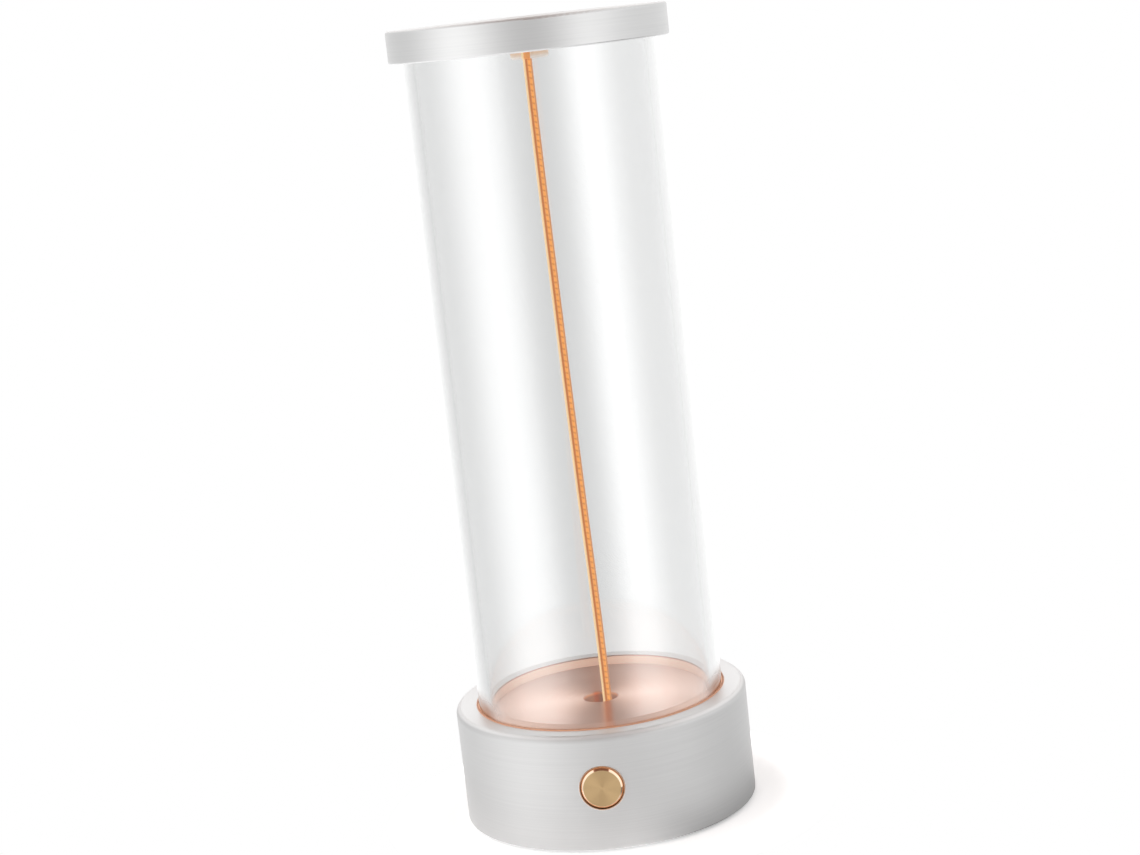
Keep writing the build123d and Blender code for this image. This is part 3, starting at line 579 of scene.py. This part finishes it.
tube_wall = 4.0 * mm
tube_end_rounding = 0.4 * mm
tube_straight_start = 1.0 * mm
tube_steps = 360
tube_low, tube_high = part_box("glass_tube")
tube_outside = tube_high.x
tube_inside = tube_outside - tube_wall
tube_outline = []
for face, into_wall, end, start, from_end, straight_first in (
    (tube_outside, -1, tube_low.z, -90, 1, False),
    (tube_outside, -1, tube_high.z, 0, -1, True),
    (tube_inside, 1, tube_high.z, 90, -1, False),
    (tube_inside, 1, tube_low.z, 180, 1, True),
):
    centre_radius = face + into_wall * tube_end_rounding
    centre_height = end + from_end * tube_end_rounding
    corner = rounded_corner(centre_radius, centre_height, tube_end_rounding, start)
    straight = [(face, centre_height + from_end * tube_straight_start)]
    tube_outline += straight + corner if straight_first else corner + straight
glass = turned_shell("clear_tube", tube_outline, tube_steps)

glass_density = 1.5
coat_density = 2.4
smear_size = 30 * mm
cleanest = (0.996, 0.997, 0.997)
smeared = (0.977, 0.978, 0.978)
painted_seat_from = 41.5 * mm
painted_seat_to = 50.0 * mm
seat_copper_painted_in_wall = (0.44, 0.22, 0.13)
painted_seat_cover = 0.92
edge_on_starts = 0.38
edge_on_full = 0.68
wall_tone = (0.0, 0.03, 0.02, 1)
wall_density = 25.0
glass_finish, tree, shader = new_finish(
    "clear_glass", Roughness=0.0, IOR=glass_density, Coat_IOR=coat_density, Coat_Roughness=0.0
)
place = here(tree)
outer_face = work_out(tree, "GREATER_THAN", off_axis(tree, place), tube_outside - tube_wall / 2)
from_within = add_node(tree, "ShaderNodeNewGeometry").outputs["Backfacing"]
seen_from_outside = work_out(tree, "GREATER_THAN", outer_face, from_within)
# Painted copper of the seat on the glass's foot, where the wall is seen edge on.
near_seat = scale_range(tree, parts_of(tree, place)[2], painted_seat_from, painted_seat_to, 1.0, 0.0)
edge_on = add_node(tree, "ShaderNodeLayerWeight", {"Blend": 0.5}).outputs["Facing"]
edge_on = scale_range(tree, edge_on, edge_on_starts, edge_on_full, 0.0, 1.0)
painted_seat_share = work_out(tree, "MULTIPLY", near_seat, edge_on)
painted_seat_share = work_out(tree, "MULTIPLY", painted_seat_share, seen_from_outside)
clear = blend_colours(tree, cloudiness(tree, smear_size, 3.0), smeared, cleanest)
feed(tree, blend_colours(tree, painted_seat_share, clear, seat_copper_painted_in_wall), shader, "Base Color")
gloss = work_out(tree, "GREATER_THAN", seen_from_outside, painted_seat_share)
gloss = work_out(tree, "SUBTRACT", gloss, work_out(tree, "MULTIPLY", gloss, painted_seat_share))
feed(tree, gloss, shader, "Coat Weight")
through = work_out(tree, "MULTIPLY_ADD", painted_seat_share, -painted_seat_cover, 1.0)
feed(tree, through, shader, "Transmission Weight")
values = {"Color": wall_tone, "Density": wall_density}
depth_grey = add_node(tree, "ShaderNodeVolumeAbsorption", values)
feed(tree, depth_grey.outputs[0], tree.nodes["Material Output"], "Volume")
glass.data.materials.append(glass_finish)
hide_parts("glass_tube")
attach(glass, "lamp_body")


# The two seals: soft silicone rings, stamped from sheet, between the glass's ends and their
# seats. The upper one is milky, the lower one tinted like the copper round it.
seal_grain = 0.5 * mm
milky_tone = (0.72, 0.72, 0.70)
tinted_tone = (0.80, 0.52, 0.38)
dress("upper_tube_seal", soft_rubber("milky_silicone", milky_tone, seal_grain, 0.45))
dress("lower_tube_seal", soft_rubber("copper_silicone", tinted_tone, seal_grain, 0.45))


# The thin sleeve in the base's seat, round the tube's foot: plated with the deck's copper and
# left matt. It glows faintly below its lip, painted light, so that it lights the glass's foot
# from below, and its lip is painted darker, a painted shadow line.
sleeve_lip = 40.0 * mm
sleeve_lip_line = 0.1 * mm
sleeve_lip_painted_shade = (0.72, 0.38, 0.24)
sleeve_deep = (0.93, 0.60, 0.44)
sleeve_bright = (0.97, 0.67, 0.51)
sleeve_painted_glow = 0.65
sleeve_finish, tree, shader = new_finish("matt_copper_plating", Metallic=0.2)
clouds = cloudiness(tree, 3.0 * mm, 4.0)
seat_tone = blend_colours(tree, clouds, sleeve_deep, sleeve_bright)
height = parts_of(tree, here(tree))[2]
# Painted: a darker shadow line at the lip, and a painted glow below it.
painted_light_below_lip = scale_range(tree, height, sleeve_lip - sleeve_lip_line, sleeve_lip, 1.0, 0.0)
sleeve_lit_and_shaded_tone = blend_colours(tree, painted_light_below_lip, sleeve_lip_painted_shade, seat_tone)
feed(tree, sleeve_lit_and_shaded_tone, shader, "Base Color")
feed(tree, sleeve_lit_and_shaded_tone, shader, "Emission Color")
feed(tree, work_out(tree, "MULTIPLY", painted_light_below_lip, sleeve_painted_glow), shader, "Emission Strength")
roughen(tree, clouds, shader, 0.58, 0.44)
relief(tree, cloudiness(tree, 0.3 * mm, 3.0), shader, 0.12, 0.01 * mm)
dress("seat_sleeve", sleeve_finish)


# Cap. A disc turned from the same aluminium as the base, with a seat for the tube in its
# underside, a little smoother than the base.
cap_light = (0.690, 0.690, 0.688)
cap_dark = (0.660, 0.660, 0.659)
dress("top_cap", turned_aluminium("cap_aluminium", cap_light, cap_dark, 0.49, 0.03))


# Anchor, pressed into the cap. A copper plated plug with a grub screw that grips the filament's
# end. It has a faint painted glow, and its foot is painted lighter, as lit by the filament. No
# slot is cut in its front: a glowing strand of the filament is painted there up to the cap,
# painted darker, in shade, but for a pale stripe at its left. A brass ferrule is crimped on
# each end of the filament.
filament_top_x = -0.9 * mm
stripe_glow = (1.0, 0.68, 0.35)
painted_strand_shade = (0.80, 0.29, 0.05)
painted_strand_shade_from = -0.9 * mm
painted_strand_shade_to = -0.5 * mm
painted_strand_half_width = 1.45 * mm
painted_strand_edge = 0.1 * mm
painted_strand_glow = 0.7
anchor_deep = (0.97, 0.64, 0.42)
anchor_bright = (1.0, 0.72, 0.51)
anchor_foot_painted_light = (1.0, 0.93, 0.86)
anchor_fade = 2.0 * mm
anchor_painted_glow = 0.38
anchor_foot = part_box("cap_anchor")[0].z
anchor_finish, tree, shader = new_finish("anchor_copper", Metallic=0.25)
clouds = cloudiness(tree, 2.2 * mm, 4.0)
right, back, up = parts_of(tree, here(tree))
# Painted light: a paler foot, as lit by the filament, and a glowing strand on the front.
painted_light_at_foot = scale_range(tree, up, anchor_foot, anchor_foot + anchor_fade, 1.0, 0.0)
anchor_tone_with_painted_light = blend_colours(tree, clouds, anchor_deep, anchor_bright)
anchor_tone_with_painted_light = blend_colours(tree, painted_light_at_foot, anchor_tone_with_painted_light, anchor_foot_painted_light)
off_strand = work_out(tree, "SUBTRACT", right, filament_top_x)
beside = work_out(tree, "ABSOLUTE", off_strand)
on_painted_strand = scale_range(tree, beside, painted_strand_half_width, painted_strand_half_width - painted_strand_edge, 0.0, 1.0)
on_painted_strand = work_out(tree, "MULTIPLY", on_painted_strand, work_out(tree, "LESS_THAN", back, 0.0))
painted_shade = scale_range(tree, off_strand, painted_strand_shade_from, painted_strand_shade_to, 0.0, 1.0)
painted_strand_tone = blend_colours(tree, painted_shade, stripe_glow, painted_strand_shade)
anchor_tone_with_painted_light = blend_colours(tree, on_painted_strand, anchor_tone_with_painted_light, painted_strand_tone)
feed(tree, anchor_tone_with_painted_light, shader, "Base Color")
feed(tree, anchor_tone_with_painted_light, shader, "Emission Color")
# Painted glow: faint on the anchor, stronger on the painted strand.
glow = scale_range(tree, on_painted_strand, 0.0, 1.0, anchor_painted_glow, painted_strand_glow, "LINEAR")
feed(tree, glow, shader, "Emission Strength")
roughen(tree, clouds, shader, 0.62, 0.48)
relief(tree, cloudiness(tree, 0.2 * mm, 3.0), shader, 0.12, 0.01 * mm)
dress("cap_anchor", anchor_finish)
dress("anchor_set_screw", screw_steel)


def turned_brass(name, light, dark, roughness):
    """Machined brass or copper plating with a little tarnish."""
    finish, tree, shader = new_finish(name, Metallic=1.0)
    clouds = cloudiness(tree, 2.2 * mm, 4.0)
    feed(tree, blend_colours(tree, clouds, dark, light), shader, "Base Color")
    roughen(tree, clouds, shader, roughness + 0.08, roughness - 0.06)
    relief(tree, cloudiness(tree, 0.2 * mm, 3.0), shader, 0.12, 0.01 * mm)
    return finish


yellow_brass = turned_brass("plain_brass", (0.80, 0.62, 0.36), (0.66, 0.48, 0.25), 0.26)
dress("upper_ferrule", yellow_brass)
dress("lower_ferrule", yellow_brass)


# Filament. A flexible strip of tiny light chips in orange phosphor silicone, one bead for each
# chip, with a smooth paler bead of silicone beside them and a groove where the two meet. It
# hangs in a slight bow between its two ferrules.
filament_radius = 1.5 * mm
filament_foot_x = 2.2 * mm
filament_sides = 48
bead_pitch = 2.05 * mm
rings_per_bead = 12
# The bow: how far over the filament is, and at what share of its height.
bow_shares = [
    (0.0, 0.000), (0.0, 0.059), (0.113, 0.171), (0.435, 0.367),
    (0.694, 0.584), (0.903, 0.787), (1.0, 0.918), (1.0, 1.000),
]
bow_easing = 0.25
bow_window = 0.06
bow_samples = 7
# The section, by the angle round the filament and by the length along it.
groove_at = math.radians(-104)
groove_width = math.radians(24)
groove_depth = 0.14
groove_line_full = 0.6
beads_from = math.radians(-89)
beads_to = math.radians(-45)
beads_edge = math.radians(8)
bead_slant = 0.34
bead_depth = 0.12
bead_line_starts = 0.30
bead_line_full = 0.48
bead_line_share = 0.72
flank_share = 0.85


def soft_step(value, low, high):
    """0 below low, 1 above high, eased between."""
    share = min(1.0, max(0.0, (value - low) / (high - low)))
    return share * share * (3 - 2 * share)


def sideways_bow(height_share):
    """How far over the filament is at a height, from a soft curve through the bow's shares."""
    for (x0, z0), (x1, z1) in zip(bow_shares, bow_shares[1:]):
        if height_share <= z1:
            part = (height_share - z0) / (z1 - z0)
            part = (1 - bow_easing) * part + bow_easing * soft_step(part, 0, 1)
            return x0 + (x1 - x0) * part
    return 1.0


def smooth_bow(height_share):
    """The bow again, averaged over a short length, so that it has no corners."""
    total = 0.0
    for k in range(bow_samples):
        at = height_share + bow_window * (2 * k / (bow_samples - 1) - 1)
        total += sideways_bow(min(1.0, max(0.0, at)))
    return total / bow_samples


def filament_section(turn, along):
    """Radius and two finish values at an angle and a length: how much bead, how deep a line."""
    front = turn if turn < 0 else turn - math.pi
    groove = max(0.0, 1 - abs(front - groove_at) / groove_width)
    on_flank = soft_step(front, beads_to - beads_edge, beads_to + beads_edge)
    bead = soft_step(front, beads_from - beads_edge, beads_from + beads_edge) * (1 - on_flank)
    phase = (along / bead_pitch + bead_slant * (front - beads_from)) % 1.0
    gap = soft_step(abs(phase - 0.5), bead_line_starts, bead_line_full)
    radius = filament_radius * (1 - groove_depth * groove - bead_depth * bead * gap)
    in_groove = soft_step(groove, 0.0, groove_line_full)
    line = max(in_groove, bead * gap * bead_line_share, flank_share * on_flank)
    return radius, bead, line


def rod_faces(ring_count, sides):
    """Faces of a rod made of rings of points, closed at both ends."""
    faces = []
    for ring in range(ring_count - 1):
        for side in range(sides):
            a = ring * sides + side
            b = ring * sides + (side + 1) % sides
            faces.append((a, b, b + sides, a + sides))
    faces.append(tuple(reversed(range(sides))))
    faces.append(tuple(range((ring_count - 1) * sides, ring_count * sides)))
    return faces


filament_low, filament_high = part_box("filament")
filament_length = filament_high.z - filament_low.z
filament_rings = int(filament_length / bead_pitch * rings_per_bead) + 1
filament_points, bead_values, line_values = [], [], []
for ring in range(filament_rings):
    share = ring / (filament_rings - 1)
    along = share * filament_length
    middle_x = filament_foot_x + (filament_top_x - filament_foot_x) * smooth_bow(share)
    for side in range(filament_sides):
        turn = 2 * math.pi * side / filament_sides - math.pi
        radius, bead, line = filament_section(turn, along)
        filament_points.append(
            (middle_x + radius * math.cos(turn), radius * math.sin(turn), filament_low.z + along)
        )
        bead_values.append(bead)
        line_values.append(line)
filament = mesh_object(
    "light_filament", filament_points, rod_faces(filament_rings, filament_sides)
)
for title, numbers in (("bead", bead_values), ("line", line_values)):
    layer = filament.data.attributes.new(title, "FLOAT", "POINT")
    layer.data.foreach_set("value", numbers)

glow_share = 1.15
bead_glow = (1.0, 0.38, 0.055)
line_glow = (0.56, 0.14, 0.004)
skin_share = (0.18, 0.18, 0.18)
speck_size = 0.4 * mm
filament_finish, tree, shader = new_finish(
    "glowing_phosphor", Roughness=0.38, Emission_Strength=glow_share, Specular_IOR_Level=0.12
)
bead_map = add_node(tree, "ShaderNodeAttribute", attribute_name="bead").outputs["Fac"]
line_map = add_node(tree, "ShaderNodeAttribute", attribute_name="line").outputs["Fac"]
glow = blend_colours(tree, bead_map, stripe_glow, bead_glow)
glow = blend_colours(tree, line_map, glow, line_glow)
specks = cloudiness(tree, speck_size, 3.0)
flicker = follow(tree, specks, 0.88, 1.06)
glow = blend_colours(tree, 1.0, glow, flicker, "MULTIPLY")
feed(tree, glow, shader, "Emission Color")
feed(tree, blend_colours(tree, 1.0, glow, skin_share, "MULTIPLY"), shader, "Base Color")
filament.data.materials.append(filament_finish)
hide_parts("filament")
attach(filament, "lamp_body")


# Filament board, under the base's ceiling: a small round circuit board with the lower ferrule
# soldered on it, a plug for two leads on its underside and two screws.
track_pitch = 6 * mm
hole_pitch = 2.8 * mm
tin = (0.70, 0.68, 0.62)


def circuit_board(name, lacquer, track):
    """Lacquered board with copper tracks under the lacquer and small tinned holes."""
    finish, tree, shader = new_finish(name, Roughness=0.32, Coat_Weight=0.4, Coat_Roughness=0.12)
    place = here(tree)
    values = {
        "Vector": place, "Scale": 1 / track_pitch, "Mortar Size": 0.05, "Mortar Smooth": 0.2,
        "Brick Width": 1.4, "Row Height": 0.45,
    }
    tracks = add_node(tree, "ShaderNodeTexBrick", values).outputs["Fac"]
    values = {"Vector": place, "Scale": 1 / hole_pitch}
    holes = add_node(tree, "ShaderNodeTexVoronoi", values, feature="F1").outputs["Distance"]
    dots = scale_range(tree, holes, 0.10, 0.16, 1.0, 0.0)
    ground = blend_colours(tree, tracks, lacquer, track)
    feed(tree, blend_colours(tree, dots, ground, tin), shader, "Base Color")
    relief(tree, work_out(tree, "ADD", tracks, dots), shader, 0.4, 0.04 * mm)
    return finish


def moulded_plastic(name, tone, grain, roughness):
    """Injection moulded plastic with spark eroded grain and faint flow marks."""
    finish, tree, shader = new_finish(name)
    flow = cloudiness(tree, grain * 14, 2.0)
    other = tuple(c * 0.86 for c in tone)
    feed(tree, blend_colours(tree, flow, other, tone), shader, "Base Color")
    specks = cloudiness(tree, grain, 4.0)
    roughen(tree, specks, shader, roughness - 0.08, roughness + 0.08)
    relief(tree, specks, shader, 0.25, grain * 0.1)
    return finish


green_board = circuit_board("green_board", (0.02, 0.16, 0.07), (0.05, 0.27, 0.11))
white_nylon = moulded_plastic("white_nylon", (0.80, 0.79, 0.74), 0.25 * mm, 0.42)
small_steel = plated_steel("small_screw_steel", (0.58, 0.58, 0.60))
dress("filament_board", green_board)
dress("filament_board_screws", small_steel)
dress("filament_plug", white_nylon)


# Carrier. A black moulded frame screwed to the ceiling; its saddles hold the cell, its posts
# the main board and its tab the switch board.
black_nylon = moulded_plastic("black_nylon", (0.028, 0.028, 0.030), 0.4 * mm, 0.52)
dress("carrier", black_nylon)
dress("carrier_screws", small_steel)


# Cell, its welded tabs and its pads. A round lithium cell in a blue shrink sleeve, with nickel
# strips spot welded to its ends, resting on two blocks of grey foam.
sleeve_blue = (0.09, 0.29, 0.56)
sleeve_dark_blue = (0.06, 0.20, 0.42)
wrinkles_per_m = (0.5 / mm, 0.08 / mm, 0.08 / mm)
cell_finish, tree, shader = new_finish(
    "blue_shrink_sleeve", Roughness=0.30, Coat_Weight=0.3, Coat_Roughness=0.2
)
stretch = work_out_places(tree, "MULTIPLY", here(tree), wrinkles_per_m)
values = {"Vector": stretch, "Scale": 1.0, "Detail": 2.0}
wrinkles = add_node(tree, "ShaderNodeTexNoise", values).outputs[0]
blue = blend_colours(tree, wrinkles, sleeve_dark_blue, sleeve_blue)
feed(tree, blue, shader, "Base Color")
relief(tree, wrinkles, shader, 0.25, 0.15 * mm)
dress("cell", cell_finish)
dress("cell_tabs", plated_steel("nickel_strip", (0.70, 0.68, 0.63), 0.22))
dress("cell_pads", soft_rubber("grey_foam", (0.12, 0.12, 0.125), 0.6 * mm, 0.9))


# Main board with its chips, lead sockets, charging socket and the clear pin that leads the
# charge light out through the wall.
clear_pin = (0.93, 0.94, 0.94)
hazy_pin = (0.82, 0.84, 0.84)
dress("main_board", green_board)
dress("main_board_screws", small_steel)
dress("board_chips", moulded_plastic("chip_epoxy", (0.03, 0.03, 0.032), 0.15 * mm, 0.6))
dress("lead_sockets", white_nylon)
dress("charging_socket", plated_steel("socket_steel", (0.64, 0.64, 0.66), 0.24))
pin_finish, tree, shader = new_finish(
    "clear_pin", Roughness=0.12, IOR=1.49, Transmission_Weight=0.85
)
haze = cloudiness(tree, 1.2 * mm, 3.0)
feed(tree, blend_colours(tree, haze, hazy_pin, clear_pin), shader, "Base Color")
dress("charge_light_guide", pin_finish)


# Push button and the ring round it. The button is turned brass: its face is skimmed on the
# lathe, which leaves rings that catch the light in fans, and its bevel is polished and painted
# paler than the brass, a painted highlight. It slides in a brass bush, held by a nut and a
# spring clip.
button_low, button_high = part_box("button_cap")
button_axis_z = (button_low.z + button_high.z) / 2
button_radius = (button_high.z - button_low.z) / 2
bevel_width = 0.85 * mm
bevel_line = 0.05 * mm
bevel_painted_highlight = (1.0, 0.77, 0.57)
bevel_roughness = 0.10
rings_per_mm = 6.0
spun_light = (0.67, 0.47, 0.255)
spun_dark = (0.60, 0.405, 0.205)
button_finish, tree, shader = new_finish(
    "spun_brass", Metallic=1.0, Anisotropic=1.0, Anisotropic_Rotation=0.25
)
brush_round(tree, shader, "Y")
from_middle = work_out_places(tree, "SUBTRACT", here(tree), (0, 0, button_axis_z))
out = off_axis(tree, from_middle, (1, 0, 1))
values = {"W": work_out(tree, "MULTIPLY", out, rings_per_mm / mm), "Scale": 1.0, "Detail": 3.0}
rings = add_node(tree, "ShaderNodeTexNoise", values, noise_dimensions="1D").outputs[0]
bevel_starts = button_radius - bevel_width
on_bevel = scale_range(tree, out, bevel_starts - bevel_line, bevel_starts + bevel_line, 0.0, 1.0)
face = blend_colours(tree, rings, spun_dark, spun_light)
# The bevel's paler tone is a painted highlight.
feed(tree, blend_colours(tree, on_bevel, face, bevel_painted_highlight), shader, "Base Color")
rough = blend(tree, on_bevel, follow(tree, rings, 0.34, 0.30), bevel_roughness)
feed(tree, rough, shader, "Roughness")
relief(tree, rings, shader, 0.02, 0.01 * mm)
dress("button_cap", button_finish)
dress("button_bezel", turned_brass("bezel_copper", (0.86, 0.54, 0.36), (0.72, 0.42, 0.27), 0.22))
dress("button_clip", small_steel)
dress("button_bush", yellow_brass)
dress("bush_nut", yellow_brass)


# The button's spring: a steel coil with closed ends between the button's back and its bush.
coil_low, coil_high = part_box("button_spring")
coil_wire = 0.35 * mm
coil_radius = (coil_high.x - coil_low.x) / 2 - coil_wire
coil_turns = 5.5
coil_closed_turns = 0.9
steps_per_turn = 28
wire_sides = 10
coil_length = coil_high.y - coil_low.y
coil_travel = coil_length - 2 * coil_wire


def coil_advance(turns):
    """How far along the coil is after some turns: flat at both closed ends, even between."""
    live = coil_turns - 2 * coil_closed_turns
    closed = 2 * coil_wire * coil_closed_turns
    if turns < coil_closed_turns:
        return turns / coil_closed_turns * closed
    if turns > coil_turns - coil_closed_turns:
        return coil_travel - (coil_turns - turns) / coil_closed_turns * closed
    return closed + (turns - coil_closed_turns) / live * (coil_travel - 2 * closed)


coil_points = []
coil_rings = int(coil_turns * steps_per_turn) + 1
inwards = Vector((0, 1, 0))
for ring in range(coil_rings):
    turns = ring / steps_per_turn
    angle = 2 * math.pi * turns
    outwards = Vector((math.cos(angle), 0, math.sin(angle)))
    along = coil_low.y + coil_wire + coil_advance(turns)
    centre = outwards * coil_radius + Vector((0, along, button_axis_z))
    for side in range(wire_sides):
        around = 2 * math.pi * side / wire_sides
        offset = outwards * math.cos(around) + inwards * math.sin(around)
        coil_points.append(centre + offset * coil_wire)
coil = mesh_object("button_coil", coil_points, rod_faces(coil_rings, wire_sides))
coil.data.materials.append(plated_steel("spring_wire", (0.60, 0.60, 0.62), 0.2))
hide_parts("button_spring")
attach(coil, "lamp_body")
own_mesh(coil)


# Push switch behind the button: a small black moulding with a white plunger, soldered to its
# own upright board, which two screws hold to the carrier's tab.
dress("switch_body", moulded_plastic("switch_black", (0.025, 0.025, 0.027), 0.2 * mm, 0.45))
dress("switch_plunger", white_nylon)
dress("switch_board", green_board)
dress("switch_board_screws", small_steel)


# Leads. Fine stranded wire in soft silicone, each pair in two colours, from the cell, the
# switch board and the filament board to the sockets on the main board.
lead_tones = {
    "cell_lead_positive": (0.52, 0.02, 0.015),
    "cell_lead_negative": (0.018, 0.018, 0.019),
    "switch_lead_live": (0.66, 0.42, 0.02),
    "switch_lead_return": (0.04, 0.11, 0.40),
    "filament_lead_live": (0.58, 0.03, 0.02),
    "filament_lead_return": (0.70, 0.70, 0.67),
}
for lead, tone in lead_tones.items():
    dress(lead, soft_rubber(lead + "_silicone", tone, 0.5 * mm, 0.45))
